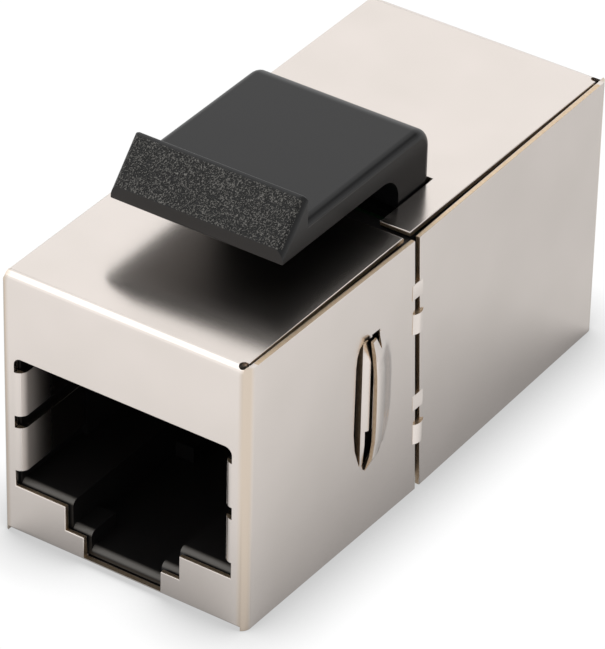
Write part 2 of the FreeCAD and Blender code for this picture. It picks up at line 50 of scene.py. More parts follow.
# The folded sheet.
SHEET = 0.3 * MM                        # its thickness
IN_SHEET = SHEET * 1.03                 # depth at which a point is still in the sheet
HAIR = 0.02 * MM                        # how near a point counts as on a surface
WALL = 7.25 * MM                        # outside of a side wall, from the middle
FACE_HALF = WALL - 0.9 * MM             # half width of an end face, between its bends
FACE_BOTTOM = 0.1 * MM                  # its lowest cut edge, over the underside
PORT_TOP = 10.6 * MM
BENDS = 0.8 * MM                        # depth taken up by the bends at each end face
BEND_REACH = 0.6 * MM                   # depth and width of an upright bend
BEND_FULL = 0.45 * BEND_REACH           # how near its corner its colour is full
CUT_EDGE = 0.3                          # the most that a cut edge looks across its sheet

# The earth tabs, and their scuffing by plugs.
TAB_INSIDE = 6.3 * MM                   # a tab lies nearer the middle than this
TAB_SIDEWAYS = 0.7                      # the least that its face looks sideways
SCUFF_END = 2.6 * MM                    # how deep in the port the scuffing ends
SCUFF_FULL = 0.6 * MM                   # and to what depth it is full

# The front top plate, which leans back towards its free end.
PLATE_LEAN = 0.08                       # its slope
PLATE_TWIST = (1.6, 0.4)                # share of the slope at its left and right edge
LEAN_START = 1.0 * MM                   # behind the front, to where it is level
LEAN_FULL = 2.6 * MM                    # behind the front, from where it has its slope

# The seam between the two boxes, and the ties across it: two pairs, in each a bowed tie
# with a flatter one over it.
SEAM_MIDDLE = -1.61 * MM                # seam at half height
SEAM_LEAN = 0.85 * MM                   # how much further forward it is at the top
TIE_LOW = 3.58 * MM                     # middle of the lowest tie
TIE_PITCH = 1.9 * MM                    # from a bowed tie up to the flatter one
TIE_HALVES = (0.62 * MM, 0.48 * MM)     # half height of a bowed tie and of a flatter one
PAIR_PITCH = 6.8 * MM                   # from one pair up to the next
PAIR_MARGIN = 2.8 * MM                  # room under a bowed tie that counts as its pair's
TIE_REACH = 0.46 * MM                   # how far from the seam a tie's outer face goes
TIE_OUT = 0.05 * MM                     # how far outside the wall that face starts
TIE_LEAN = 0.3                          # how far that face looks up

# The floor of a port, and the latch's ramp.
HOUSING_FRONT = -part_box("front_jack_housing")[0][1]
LEDGE_START = HOUSING_FRONT - 0.3 * MM  # where the round of the floor's edge starts
LEDGE_HIGHLIGHT_FADE = (-0.1 * MM, 0.12 * MM)       # from no painted highlight to the full one, from there
TIP_FACE_TOP = 17.9 * MM                # where the ramp starts, above the blunt tip
RIDGE_FRONT = LATCH_LOW[1] + 1.8 * MM   # where the ramp ends, at its ridge
GRAIN_SHORT = 0.05 * MM                 # how far under the ridge the grain stops
GRAIN_NARROW = 0.02 * MM                # and how far inside the ramp's sides

SHARP = math.radians(40)                # a corner that turns more keeps a hard edge


# ------------------------------------------------------------- node helpers

def linear(hex_colour):
    """sRGB hex to the linear colour that the shaders take."""
    channels = [int(hex_colour[i:i + 2], 16) / 255 for i in (1, 3, 5)]
    return [c / 12.92 if c <= 0.04045 else ((c + 0.055) / 1.055) ** 2.4
            for c in channels] + [1.0]


def add(tree, kind, settings=None, **links):
    """Adds a node. Settings are its properties, or its inputs by name or number; a
    link is another node's output, named for the input or _ and the input's number."""
    node = tree.nodes.new(kind)
    for key, value in (settings or {}).items():
        if isinstance(key, str) and hasattr(node, key):
            setattr(node, key, value)
        else:
            node.inputs[key].default_value = value
    for key, source in links.items():
        target = int(key[1:]) if key[0] == "_" and key[1:].isdigit() else key.replace("_", " ")
        tree.links.new(source, node.inputs[target])
    return node


def new_material(name):
    """A material with a principled shader alone."""
    material = bpy.data.materials.new(name)
    material.use_nodes = True
    tree = material.node_tree
    tree.nodes.clear()
    output = tree.nodes.new("ShaderNodeOutputMaterial")
    shader = tree.nodes.new("ShaderNodeBsdfPrincipled")
    tree.links.new(shader.outputs[0], output.inputs[0])
    return material, tree, shader


# ---------------------------------------------------------------- materials

def sheared_edges(tree, place, normal):
    """1 on the cut edges of the folded sheet, where the plating is thin: a surface of a
    wall, a plate or an end face that looks along its own sheet."""
    at = add(tree, "ShaderNodeSeparateXYZ", _0=place).outputs
    looks = add(tree, "ShaderNodeSeparateXYZ", _0=normal).outputs
    across, along, looks_x, looks_y, looks_z = [
        add(tree, "ShaderNodeMath", {"operation": "ABSOLUTE"}, _0=value).outputs[0]
        for value in (at[0], at[1], looks[0], looks[1], looks[2])]
    up = at[2]
    between_bends = (along, "LESS_THAN", SHIELD_HIGH[1] - BENDS)
    plate = ((across, "LESS_THAN", WALL - SHEET - HAIR), between_bends,
             (looks_z, "LESS_THAN", CUT_EDGE))
    wall = ((across, "GREATER_THAN", WALL - SHEET - HAIR), between_bends,
            (looks_x, "LESS_THAN", CUT_EDGE))
    top = ((up, "GREATER_THAN", SHIELD_HIGH[2] - IN_SHEET), *plate)
    bottom = ((up, "LESS_THAN", IN_SHEET), *plate)
    face = ((along, "GREATER_THAN", SHIELD_HIGH[1] - IN_SHEET),
            (across, "LESS_THAN", FACE_HALF), (up, "LESS_THAN", PORT_TOP + SHEET),
            (up, "GREATER_THAN", FACE_BOTTOM), (looks_y, "LESS_THAN", CUT_EDGE))
    cut = None
    for tests in (wall, top, bottom, face):
        passed = None
        for value, operation, limit in tests:
            test = add(tree, "ShaderNodeMath", {"operation": operation, 1: limit},
                       _0=value).outputs[0]
            passed = test if passed is None else add(
                tree, "ShaderNodeMath", {"operation": "MULTIPLY"}, _0=passed,
                _1=test).outputs[0]
        cut = passed if cut is None else add(
            tree, "ShaderNodeMath", {"operation": "MAXIMUM"}, _0=cut, _1=passed).outputs[0]
    return cut


def upright_bends(tree, place):
    """1 where an end face turns into a side wall."""
    at = add(tree, "ShaderNodeSeparateXYZ", _0=place).outputs
    near = []
    for output, corner in ((at[0], WALL), (at[1], SHIELD_HIGH[1])):
        out = add(tree, "ShaderNodeMath", {"operation": "ABSOLUTE"}, _0=output).outputs[0]
        near.append(add(tree, "ShaderNodeMapRange",
                        {"interpolation_type": "SMOOTHSTEP", "From Min": corner - BEND_REACH,
                         "From Max": corner - BEND_FULL}, Value=out).outputs[0])
    return add(tree, "ShaderNodeMath", {"operation": "MULTIPLY"}, _0=near[0],
               _1=near[1]).outputs[0]


def hanging_plate(tree, place):
    """How far the front top plate leans back, from its bend to its free end. It is
    slightly twisted, and leans most on the left."""
    at = add(tree, "ShaderNodeSeparateXYZ", _0=place).outputs
    slope = add(tree, "ShaderNodeMapRange",
                {"From Min": SHIELD_LOW[1] + LEAN_START, "From Max": SHIELD_LOW[1] + LEAN_FULL,
                 "To Max": PLATE_LEAN}, Value=at[1]).outputs[0]
    twist = add(tree, "ShaderNodeMapRange",
                {"From Min": -WALL, "From Max": WALL, "To Min": PLATE_TWIST[0],
                 "To Max": PLATE_TWIST[1]}, Value=at[0]).outputs[0]
    in_front = add(tree, "ShaderNodeMath", {"operation": "LESS_THAN", 1: SEAM_MIDDLE},
                   _0=at[1]).outputs[0]
    on_top = add(tree, "ShaderNodeMath",
                 {"operation": "GREATER_THAN", 1: SHIELD_HIGH[2] - HAIR}, _0=at[2]).outputs[0]
    lean = slope
    for share in (twist, in_front, on_top):
        lean = add(tree, "ShaderNodeMath", {"operation": "MULTIPLY"}, _0=lean,
                   _1=share).outputs[0]
    return lean


def tie_faces(tree, place):
    """How far the outer faces of the ties across the seam look up."""
    at = add(tree, "ShaderNodeSeparateXYZ", _0=place).outputs
    seam = add(tree, "ShaderNodeMapRange",
               {"From Max": SHIELD_HIGH[2], "To Min": SEAM_MIDDLE + SEAM_LEAN / 2,
                "To Max": SEAM_MIDDLE - SEAM_LEAN / 2}, Value=at[2]).outputs[0]
    over_seam = add(tree, "ShaderNodeMath", {"operation": "COMPARE", 2: TIE_REACH}, _0=at[1],
                    _1=seam).outputs[0]
    # Heights in the upper pair count as the same heights in the lower one.
    pair_start = TIE_LOW - PAIR_MARGIN
    height = add(tree, "ShaderNodeMath",
                 {"operation": "WRAP", 1: pair_start + PAIR_PITCH, 2: pair_start},
                 _0=at[2]).outputs[0]
    bowed, flatter = [
        add(tree, "ShaderNodeMath", {"operation": "COMPARE", 1: middle, 2: half},
            _0=height).outputs[0]
        for middle, half in zip((TIE_LOW, TIE_LOW + TIE_PITCH), TIE_HALVES)]
    at_tie = add(tree, "ShaderNodeMath", {"operation": "MAXIMUM"}, _0=bowed,
                 _1=flatter).outputs[0]
    out = add(tree, "ShaderNodeMath", {"operation": "ABSOLUTE"}, _0=at[0]).outputs[0]
    outside = add(tree, "ShaderNodeMath", {"operation": "GREATER_THAN", 1: WALL + TIE_OUT},
                  _0=out).outputs[0]
    lean = add(tree, "ShaderNodeMath", {"operation": "MULTIPLY", 1: TIE_LEAN},
               _0=outside).outputs[0]
    for share in (over_seam, at_tie):
        lean = add(tree, "ShaderNodeMath", {"operation": "MULTIPLY"}, _0=lean,
                   _1=share).outputs[0]
    return lean


def worn_tabs(tree, place, normal):
    """From 1 to 0 along the tabs folded into a port, whose fronts are scuffed by plugs."""
    at = add(tree, "ShaderNodeSeparateXYZ", _0=place).outputs
    looks = add(tree, "ShaderNodeSeparateXYZ", _0=normal).outputs
    out, deep, looks_x = [
        add(tree, "ShaderNodeMath", {"operation": "ABSOLUTE"}, _0=value).outputs[0]
        for value in (at[0], at[1], looks[0])]
    inner = add(tree, "ShaderNodeMath", {"operation": "LESS_THAN", 1: TAB_INSIDE},
                _0=out).outputs[0]
    sideways = add(tree, "ShaderNodeMath", {"operation": "GREATER_THAN", 1: TAB_SIDEWAYS},
                   _0=looks_x).outputs[0]
    worn = add(tree, "ShaderNodeMapRange", {"From Min": SHIELD_HIGH[1] - SCUFF_END,
                                            "From Max": SHIELD_HIGH[1] - SCUFF_FULL},
               Value=deep).outputs[0]
    for share in (inner, sideways):
        worn = add(tree, "ShaderNodeMath", {"operation": "MULTIPLY"}, _0=worn,
                   _1=share).outputs[0]
    return worn


def nickel_plated_brass():
    """Rolled brass sheet under satin nickel: a warm grey mirror blurred by the rolling,
    with brass showing where the sheet was sheared."""
    material, tree, shader = new_material("satin_nickel_plated_brass_sheet")
    place = add(tree, "ShaderNodeTexCoord").outputs["Object"]
    normal = add(tree, "ShaderNodeNewGeometry").outputs["True Normal"]

    # Rolling and plating leave faint clouds a few millimetres wide.
    clouds = add(tree, "ShaderNodeTexNoise", {"Scale": 1 / (4 * MM), "Detail": 2.0},
                 Vector=place).outputs["Fac"]
    nickel = add(tree, "ShaderNodeMix", {"data_type": "RGBA", 6: linear("#DDD5CE"),
                                         7: linear("#E7DED8")}, _0=clouds).outputs[2]
    # Shearing smears nickel over part of a cut edge, in patches about 0.15 mm wide.
    smear = add(tree, "ShaderNodeTexNoise", {"Scale": 1 / (0.15 * MM), "Detail": 3.0},
                Vector=place).outputs["Fac"]
    brass = add(tree, "ShaderNodeMix", {"data_type": "RGBA", 6: linear("#C2A27B"),
                                        7: linear("#EADBC6")}, _0=smear).outputs[2]
    # Painted reflection: the upright bends are tinted warmer and darker, standing in for the tan
    # they mirror.
    painted_bend_reflection = add(tree, "ShaderNodeMix", {"data_type": "RGBA", 7: linear("#CDBFB0")},
                    _0=upright_bends(tree, place), _6=nickel).outputs[2]
    sheared = sheared_edges(tree, place, normal)
    colour = add(tree, "ShaderNodeMix", {"data_type": "RGBA"}, _0=sheared, _6=painted_bend_reflection,
                 _7=brass).outputs[2]
    tree.links.new(colour, shader.inputs["Base Color"])

    # The plating's own grain is too fine to show, so it is drawn 0.12 mm coarse.
    grain = add(tree, "ShaderNodeTexNoise", {"Scale": 1 / (0.12 * MM), "Detail": 3.0},
                Vector=place).outputs["Fac"]
    roughness = add(tree, "ShaderNodeMapRange", {"To Min": 0.17, "To Max": 0.23},
                    Value=grain).outputs[0]
    # Plugs scuff the tabs nearly matt, and shearing tears the cut edges a little.
    scuffed = add(tree, "ShaderNodeMix", {"data_type": "FLOAT", 3: 0.65},
                  _0=worn_tabs(tree, place, normal), _2=roughness).outputs[0]
    torn = add(tree, "ShaderNodeMix", {"data_type": "FLOAT", 3: 0.42}, _0=sheared,
               _2=scuffed).outputs[0]
    tree.links.new(torn, shader.inputs["Roughness"])
    bump = add(tree, "ShaderNodeBump", {"Distance": 0.0006 * MM}, Height=grain).outputs[0]
    # The front top plate leans back a little, so it mirrors the latch further forward
    # than a level plate would. The ties' faces come rounded from the punch and catch
    # light from higher up.
    lean = add(tree, "ShaderNodeCombineXYZ", _1=hanging_plate(tree, place),
               _2=tie_faces(tree, place)).outputs[0]
    leaning = add(tree, "ShaderNodeVectorMath", {"operation": "ADD"}, _0=bump, _1=lean).outputs[0]
    facing = add(tree, "ShaderNodeVectorMath", {"operation": "NORMALIZE"}, _0=leaning).outputs[0]
    tree.links.new(facing, shader.inputs["Normal"])
    shader.inputs["Metallic"].default_value = 1.0
    return material


def painted_ledge_highlight(tree, place):
    """1 on the rounded front edges of the port's floor that look up, where a highlight is painted.
    """
    along = add(tree, "ShaderNodeMath", {"operation": "ABSOLUTE"},
                _0=add(tree, "ShaderNodeSeparateXYZ", _0=place).outputs[1]).outputs[0]
    near = add(tree, "ShaderNodeMapRange",
               {"interpolation_type": "SMOOTHSTEP", "From Min": LEDGE_START + LEDGE_HIGHLIGHT_FADE[0],
                "From Max": LEDGE_START + LEDGE_HIGHLIGHT_FADE[1]}, Value=along).outputs[0]
    normal = add(tree, "ShaderNodeNewGeometry").outputs["Normal"]
    looks_up = add(tree, "ShaderNodeMapRange", {"From Min": 0.1, "From Max": 0.5},
                   Value=add(tree, "ShaderNodeSeparateXYZ", _0=normal).outputs[2]).outputs[0]
    return add(tree, "ShaderNodeMath", {"operation": "MULTIPLY"}, _0=near,
               _1=looks_up).outputs[0]


def moulded_plastic(name, dark, light, rough, shine, grain_mm, ledge_highlight_colour):
    """Black thermoplastic off a fine-ground mould: soft sheen with a faint cloudiness.
    Its shine is under the usual 0.5, because the ground skin scatters part of it. Where a ledge
    colour is given, the front ledges of a port that look up are painted that grey: a painted
    highlight."""
    material, tree, shader = new_material(name)
    place = add(tree, "ShaderNodeTexCoord").outputs["Object"]
    # The melt's flow leaves clouds about 3 mm wide.
    clouds = add(tree, "ShaderNodeTexNoise", {"Scale": 1 / (3 * MM), "Detail": 3.0},
                 Vector=place).outputs["Fac"]
    colour = add(tree, "ShaderNodeMix", {"data_type": "RGBA", 6: linear(dark), 7: linear(light)},
                 _0=clouds).outputs[2]
    # Painted highlight: the port's upward-looking front ledges are turned grey.
    if ledge_highlight_colour:
        colour = add(tree, "ShaderNodeMix", {"data_type": "RGBA", 7: linear(ledge_highlight_colour)},
                     _0=painted_ledge_highlight(tree, place), _6=colour).outputs[2]
    tree.links.new(colour, shader.inputs["Base Color"])
    # The mould's grain is too fine to show, so it is drawn grain_mm coarse.
    grain = add(tree, "ShaderNodeTexNoise", {"Scale": 1 / (grain_mm * MM), "Detail": 2.0},
                Vector=place).outputs["Fac"]
    roughness = add(tree, "ShaderNodeMapRange", {"To Min": rough - 0.05, "To Max": rough + 0.05},
                    Value=grain).outputs[0]
    tree.links.new(roughness, shader.inputs["Roughness"])
    bump = add(tree, "ShaderNodeBump", {"Strength": 0.15, "Distance": 0.01 * MM},
               Height=grain).outputs[0]
    tree.links.new(bump, shader.inputs["Normal"])
    shader.inputs["IOR"].default_value = 1.53
    shader.inputs["Specular IOR Level"].default_value = shine
    return material


def spark_eroded_plastic():
    """The latch's ABS where the mould was spark-eroded: a skin of fine winding ridges, whose tops
    are painted grey as glints and whose hollows are painted near black as shade; the hollows are
    also duller."""
    material, tree, shader = new_material("spark_eroded_abs_latch")
    relief = add(tree, "ShaderNodeAttribute", {"attribute_name": "relief"}).outputs["Fac"]
    # Painted glint and shade: grey on the ridge tops, near black in the hollows, dark grey between.
    colour = add(tree, "ShaderNodeValToRGB", _0=relief)
    stops = colour.color_ramp.elements
    stops[0].position, stops[0].color = 0.1, linear("#0C0C0C")
    stops[1].position, stops[1].color = 0.95, linear("#74726E")
    middle = stops.new(0.6)
    middle.color = linear("#232322")
    tree.links.new(colour.outputs[0], shader.inputs["Base Color"])
    roughness = add(tree, "ShaderNodeMapRange", {"From Min": 0.3, "From Max": 0.8,
                                                 "To Min": 0.55, "To Max": 0.3},
                    Value=relief).outputs[0]
    tree.links.new(roughness, shader.inputs["Roughness"])
    shader.inputs["IOR"].default_value = 1.53
    shader.inputs["Specular IOR Level"].default_value = 0.15
    return material


def gold_plated_bronze():
    """Hard gold over phosphor bronze: bright, with drawing lines along the wire."""
    material, tree, shader = new_material("gold_plated_phosphor_bronze")
    place = add(tree, "ShaderNodeTexCoord").outputs["Object"]
    # The lines are 0.05 mm apart, coarser than real ones, and about 2 mm long.
    lines = add(tree, "ShaderNodeMapping", {"Scale": (1 / (0.05 * MM), 1 / (2 * MM), 1 / (2 * MM))},
                Vector=place).outputs[0]
    drawn = add(tree, "ShaderNodeTexNoise", {"Scale": 1.0, "Detail": 2.0},
                Vector=lines).outputs["Fac"]
    colour = add(tree, "ShaderNodeMix", {"data_type": "RGBA", 6: linear("#D9AE5C"),
                                         7: linear("#F0CB80")}, _0=drawn).outputs[2]
    tree.links.new(colour, shader.inputs["Base Color"])
    roughness = add(tree, "ShaderNodeMapRange", {"To Min": 0.18, "To Max": 0.32},
                    Value=drawn).outputs[0]
    tree.links.new(roughness, shader.inputs["Roughness"])
    shader.inputs["Metallic"].default_value = 1.0
    return material


def solder_mask():
    """Glass-epoxy board under green solder mask, with the weave just showing. Its green is darkened
    far below a real mask's: painted shade, for the board seen only through the gap between the top
    plates.
    """
    material, tree, shader = new_material("solder_masked_glass_epoxy")
    place = add(tree, "ShaderNodeTexCoord").outputs["Object"]
    # The glass cloth's threads are a little over a millimetre apart.
    weave = add(tree, "ShaderNodeTexWave", {"Scale": 1 / (1.2 * MM), "Distortion": 0.4},
                Vector=place).outputs["Fac"]
    # Painted shade: both greens are near black.
    colour = add(tree, "ShaderNodeMix", {"data_type": "RGBA", 6: linear("#0B2513"),
                                         7: linear("#113619")}, _0=weave).outputs[2]
    tree.links.new(colour, shader.inputs["Base Color"])
    shader.inputs["Roughness"].default_value = 0.35
    shader.inputs["IOR"].default_value = 1.55
    return material


NICKEL = nickel_plated_brass()
# The housing's grey on its port ledges is a painted highlight.
PBT = moulded_plastic("moulded_pbt_housing", dark="#0B0A0A", light="#171616", rough=0.42,
                      shine=0.35, grain_mm=0.08, ledge_highlight_colour="#5A5753")
ABS = moulded_plastic("moulded_abs_latch", dark="#09090A", light="#0F0F10", rough=0.3,
                      shine=0.3, grain_mm=0.06, ledge_highlight_colour=None)
ERODED = spark_eroded_plastic()
GOLD = gold_plated_bronze()
MASK = solder_mask()


def finish_for(node):
    """The finish of a piece, by its name."""
    if node == "shield_shell":
        return NICKEL
    if node == "keystone_latch":
        return ABS
    if node == "circuit_board":
        return MASK
    if "_contact_" in node and "carrier" not in node:
        return GOLD
    return PBT


# ------------------------------------------------------------------- pieces

def edges_to_break(build, edge_round):
    """Long outer corners near a right angle, between two faces wide enough to be cut."""
    long_enough, wide_enough = 12 * edge_round, 3 * edge_round
    least_turn, most_turn = 1.2, 1.9        # radians

    def breadth(face, edge):
        start = edge.verts[0].co
        along = (edge.verts[1].co - start).normalized()
        return max(((v.co - start) - along * (v.co - start).dot(along)).length
                   for v in face.verts)

    return [edge for edge in build.edges
            if len(edge.link_faces) == 2 and edge.is_convex
            and edge.calc_length() > long_enough
            and least_turn < edge.calc_face_angle() < most_turn
            and min(breadth(face, edge) for face in edge.link_faces) > wide_enough]


def smoothed_copy(node, name, edge_round):
    """The node's own shape with its loose triangles joined, so its bends shade smoothly,
    and its long sharp edges broken by a small round."""
    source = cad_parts[node]
    mesh = source.data.copy()
    mesh.name = name
    build = bmesh.new()
    build.from_mesh(mesh)
    bmesh.ops.remove_doubles(build, verts=build.verts, dist=0.0005 * MM)
    bmesh.ops.dissolve_limit(build, angle_limit=math.radians(0.5), verts=build.verts,
                             edges=build.edges)
    if edge_round:
        bmesh.ops.bevel(build, geom=edges_to_break(build, edge_round), offset=edge_round,
                        segments=2, profile=0.5, affect="EDGES", clamp_overlap=False)
    for face in build.faces:
        face.smooth = True
    for edge in build.edges:
        edge.smooth = len(edge.link_faces) == 2 and edge.calc_face_angle(math.pi) < SHARP
    build.to_mesh(mesh)
    build.free()
    mesh.materials.clear()
    mesh.materials.append(finish_for(node))
    piece = bpy.data.objects.new(name, mesh)
    bpy.context.collection.objects.link(piece)
    weighted = piece.modifiers.new("even_flats", "WEIGHTED_NORMAL")
    weighted.keep_sharp = True
    return piece


def grain_tree():
    """Spark-eroded skin over the latch's ramp: a fine grid drawn onto the latch's surface,
    then raised in winding ridges that die away towards its borders."""
    tree = bpy.data.node_groups.new("spark_eroded_skin", "GeometryNodeTree")

    def socket(name, kind, default=None, way="INPUT"):
        item = tree.interface.new_socket(name=name, in_out=way, socket_type=kind)
        if default is not None:
            item.default_value = default
        return item

    # Spacing is the grid's, Grain the width from ridge to ridge, and Relief their height.
    socket("Geometry", "NodeSocketGeometry")
    socket("Latch", "NodeSocketObject")
    socket("Width", "NodeSocketFloat", 10 * MM)
    socket("Length", "NodeSocketFloat", 3 * MM)
    socket("Spacing", "NodeSocketFloat", 0.025 * MM)
    socket("Grain", "NodeSocketFloat", 0.09 * MM)
    socket("Relief", "NodeSocketFloat", 0.02 * MM)
    socket("Border", "NodeSocketFloat", 0.08 * MM)
    socket("Seed", "NodeSocketFloat", 4.0)
    socket("Start", "NodeSocketVector")
    socket("Tilt", "NodeSocketVector")
    socket("Finish", "NodeSocketMaterial")
    socket("Geometry", "NodeSocketGeometry", way="OUTPUT")

    asked = add(tree, "NodeGroupInput").outputs
    steps = [add(tree, "ShaderNodeMath", {"operation": "DIVIDE"}, _0=asked[side],
                 _1=asked["Spacing"]).outputs[0] for side in ("Width", "Length")]
    counts = [add(tree, "FunctionNodeFloatToInt", {"rounding_mode": "CEILING"},
                  _0=value).outputs[0] for value in steps]
    grid = add(tree, "GeometryNodeMeshGrid", Size_X=asked["Width"], Size_Y=asked["Length"],
               Vertices_X=counts[0], Vertices_Y=counts[1]).outputs["Mesh"]
    flat_place = add(tree, "GeometryNodeInputPosition").outputs[0]

    # How far a point lies inside the grid's border, from 0 to 1.
    at = add(tree, "ShaderNodeSeparateXYZ", _0=flat_place).outputs
    inset = []
    for i, side in enumerate(("Width", "Length")):
        half = add(tree, "ShaderNodeMath", {"operation": "MULTIPLY", 1: 0.5},
                   _0=asked[side]).outputs[0]
        out = add(tree, "ShaderNodeMath", {"operation": "ABSOLUTE"}, _0=at[i]).outputs[0]
        left = add(tree, "ShaderNodeMath", {"operation": "SUBTRACT"}, _0=half, _1=out).outputs[0]
        inset.append(add(tree, "ShaderNodeMath", {"operation": "DIVIDE", "use_clamp": True},
                         _0=left, _1=asked["Border"]).outputs[0])
    inside = add(tree, "ShaderNodeMath", {"operation": "MULTIPLY"}, _0=inset[0],
                 _1=inset[1]).outputs[0]
    kept = add(tree, "GeometryNodeStoreNamedAttribute",
               {"data_type": "FLOAT", "domain": "POINT", "Name": "inside"},
               Geometry=grid, Value=inside).outputs[0]

    placed = add(tree, "GeometryNodeTransform", Geometry=kept, Translation=asked["Start"],
                 Rotation=add(tree, "FunctionNodeEulerToRotation",
                              _0=asked["Tilt"]).outputs[0]).outputs[0]
    target = add(tree, "GeometryNodeObjectInfo", {"transform_space": "ORIGINAL"},
                 Object=asked["Latch"]).outputs["Geometry"]
    nearest = add(tree, "GeometryNodeProximity", {"target_element": "FACES"},
                  _0=target).outputs["Position"]
    wrapped = add(tree, "GeometryNodeSetPosition", Geometry=placed,
                  Position=nearest).outputs[0]

    # The skin's tops run together into fine winding ridges: where a noise crosses its
    # middle value.
    line_half, hollow = 0.13, 0.12
    place = add(tree, "GeometryNodeInputPosition").outputs[0]
    scale = add(tree, "ShaderNodeMath", {"operation": "DIVIDE", 0: 1.0},
                _1=asked["Grain"]).outputs[0]
    cloud = add(tree, "ShaderNodeTexNoise",
                {"noise_dimensions": "4D", "Detail": 1.0, "Roughness": 0.5},
                Vector=place, W=asked["Seed"], Scale=scale).outputs[0]
    off_line = add(tree, "ShaderNodeMath", {"operation": "ABSOLUTE"},
                   _0=add(tree, "ShaderNodeMath", {"operation": "SUBTRACT", 1: 0.5},
                          _0=cloud).outputs[0]).outputs[0]
    relief = add(tree, "ShaderNodeMapRange",
                 {"From Max": line_half, "To Min": 1.0, "To Max": 0.0},
                 Value=off_line).outputs[0]
    noted = add(tree, "GeometryNodeStoreNamedAttribute",
                {"data_type": "FLOAT", "domain": "POINT", "Name": "relief"},
                Geometry=wrapped, Value=relief).outputs[0]
    inside_now = add(tree, "GeometryNodeInputNamedAttribute",
                     {"data_type": "FLOAT", "Name": "inside"}).outputs[0]
    raised = add(tree, "ShaderNodeMath", {"operation": "MULTIPLY"}, _0=relief,
                 _1=inside_now).outputs[0]
    # The hollows lie a little under the surface.
    sunk = add(tree, "ShaderNodeMath", {"operation": "SUBTRACT", 1: hollow},
               _0=raised).outputs[0]
    height = add(tree, "ShaderNodeMath", {"operation": "MULTIPLY"}, _0=sunk,
                 _1=asked["Relief"]).outputs[0]
    outward = add(tree, "GeometryNodeInputNormal").outputs[0]
    offset = add(tree, "ShaderNodeVectorMath", {"operation": "SCALE"}, _0=outward,
                 Scale=height).outputs[0]
    rough = add(tree, "GeometryNodeSetPosition", Geometry=noted, Offset=offset).outputs[0]
    smooth = add(tree, "GeometryNodeSetShadeSmooth", Geometry=rough).outputs[0]
    joined = add(tree, "GeometryNodeRealizeInstances", Geometry=smooth).outputs[0]
    finished = add(tree, "GeometryNodeSetMaterial", Geometry=joined,
                   Material=asked["Finish"]).outputs[0]
    out = add(tree, "NodeGroupOutput")
    tree.links.new(finished, out.inputs[0])
    return tree


def ramp_skin(latch):
    """The grain on the latch's ramp, as a plain mesh just over the ramp's own surface."""
    tree = grain_tree()
    rise = LATCH_HIGH[2] - GRAIN_SHORT - TIP_FACE_TOP
    run = RIDGE_FRONT - LATCH_LOW[1]
    length = math.hypot(rise, run)
    tilt = math.atan2(rise, run)
    middle = Vector((0, LATCH_LOW[1] + run / 2, TIP_FACE_TOP + rise / 2))
    holder = bpy.data.objects.new("ramp_holder", bpy.data.meshes.new("ramp_holder"))
    bpy.context.collection.objects.link(holder)
    modifier = holder.modifiers.new("skin", "NODES")
    modifier.node_group = tree
    values = {"Latch": latch, "Width": LATCH_HIGH[0] - LATCH_LOW[0] - 2 * GRAIN_NARROW,
              "Length": length, "Start": middle, "Tilt": (tilt, 0.0, 0.0), "Finish": ERODED}
    for item in tree.interface.items_tree:
        if item.in_out == "INPUT" and item.name in values:
            modifier[item.identifier] = values[item.name]
    bpy.context.view_layer.update()
    evaluated = holder.evaluated_get(bpy.context.evaluated_depsgraph_get())
    mesh = bpy.data.meshes.new_from_object(evaluated)
    holder.modifiers.clear()
    bpy.data.objects.remove(holder)
    mesh.name = "latch_ramp_grain"
    piece = bpy.data.objects.new("latch_ramp_grain", mesh)
    bpy.context.collection.objects.link(piece)
    return piece


def dress_nodes():
    """Gives each piece its finish, and the four that are seen most a smoothed copy, with
    the round of their long sharp edges. The housings' edges stay as they are."""
    for node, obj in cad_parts.items():
        for held in obj.material_slots:
            held.material = finish_for(node)
    for node, body, slot, edge_round in (
            ("shield_shell", "coupler", "nickel_plated_shield", 0.05 * MM),
            ("front_jack_housing", "coupler", "black_housing", 0.0),
            ("rear_jack_housing", "coupler", "black_housing", 0.0),
            ("keystone_latch", "latch", "latch_plastic", 0.07 * MM)):
        piece = smoothed_copy(node, node + "_finished", edge_round)
        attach(piece, body)
        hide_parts(node)
    grain = ramp_skin(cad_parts["keystone_latch"])
    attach(grain, "latch")


# -------------------------------------------------------------------- studio

